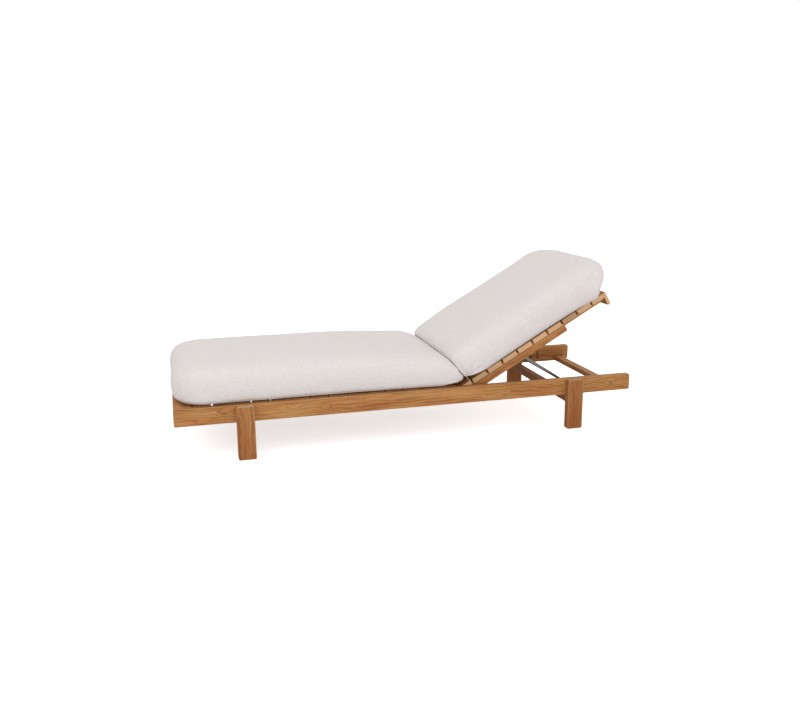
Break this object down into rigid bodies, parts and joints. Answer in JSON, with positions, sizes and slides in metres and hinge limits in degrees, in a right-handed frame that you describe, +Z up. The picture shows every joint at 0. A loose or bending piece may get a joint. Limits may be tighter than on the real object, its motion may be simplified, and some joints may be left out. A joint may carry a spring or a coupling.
{
  "type": "sun lounger",
  "caption": "Slatted teak sun lounger on four legs, with a folding back on a steel prop and rack, and two thick linen-coloured cushions.",
  "frame": {"origin": "on the floor under the middle of the frame", "axes": "+X from the foot end to the head end, +Z up"},
  "size_m": [2, 0.717, 0.7265],
  "materials": {
    "teak_frame": "oiled teak, satin",
    "teak_slats": "oiled teak, satin",
    "cushion_cloth": "woven outdoor cloth, matte",
    "steel": "brushed stainless steel"
  },
  "bodies": {
    "frame": {"left_rail": "teak_frame", "right_rail": "teak_frame", "foot_left_leg": "teak_frame", "foot_right_leg": "teak_frame", "head_left_leg": "teak_frame", "head_right_leg": "teak_frame", "left_ledger": "teak_frame", "right_ledger": "teak_frame", "foot_stretcher": "teak_frame", "head_stretcher": "teak_frame", "foot_crossbar": "teak_frame", "head_crossbar": "teak_frame", "seat_slat_1": "teak_slats", "seat_slat_2": "teak_slats", "seat_slat_3": "teak_slats", "seat_slat_4": "teak_slats", "seat_slat_5": "teak_slats", "seat_slat_6": "teak_slats", "seat_slat_7": "teak_slats", "seat_slat_8": "teak_slats", "seat_slat_9": "teak_slats", "seat_slat_10": "teak_slats", "seat_slat_11": "teak_slats", "seat_slat_12": "teak_slats", "seat_slat_13": "teak_slats", "seat_slat_14": "teak_slats", "seat_slat_15": "teak_slats", "leg_bolts_long": "steel", "leg_bolts_short": "steel", "hinge_bolts": "steel", "hinge_washers": "steel", "seat_slat_screws": "steel", "ledger_screws": "steel", "stretcher_screws": "steel", "crossbar_screws": "steel", "seat_cushion": "cushion_cloth"},
    "back": {"left_bearer": "teak_frame", "right_bearer": "teak_frame", "back_slat_1": "teak_slats", "back_slat_2": "teak_slats", "back_slat_3": "teak_slats", "back_slat_4": "teak_slats", "back_slat_5": "teak_slats", "back_slat_6": "teak_slats", "back_slat_7": "teak_slats", "back_slat_8": "teak_slats", "back_slat_9": "teak_slats", "head_slat": "teak_slats", "grip_board": "teak_slats", "grip_screws": "steel", "back_slat_screws": "steel", "prop_bolts": "steel", "prop_washers": "steel", "back_cushion": "cushion_cloth"},
    "prop": {"prop_rod": "steel", "left_prop_arm": "steel", "right_prop_arm": "steel"}
  },
  "joints": [
    {"name": "back_recline", "type": "hinge", "parent": "frame", "child": "back", "pos_m": [0.2253, 0, 0.185], "axis": [0, -1, 0], "range_deg": [-29.6, 11.8]},
    {"name": "prop_swing", "type": "hinge", "parent": "back", "child": "prop", "pos_m": [0.49966, 0, 0.33166], "axis": [0, -1, 0], "range_deg": [-24.96, 62.6]}
  ],
  "couplings": [
    {"joint": "prop_swing", "follows": "back_recline", "ratio": -2.115}
  ]
}
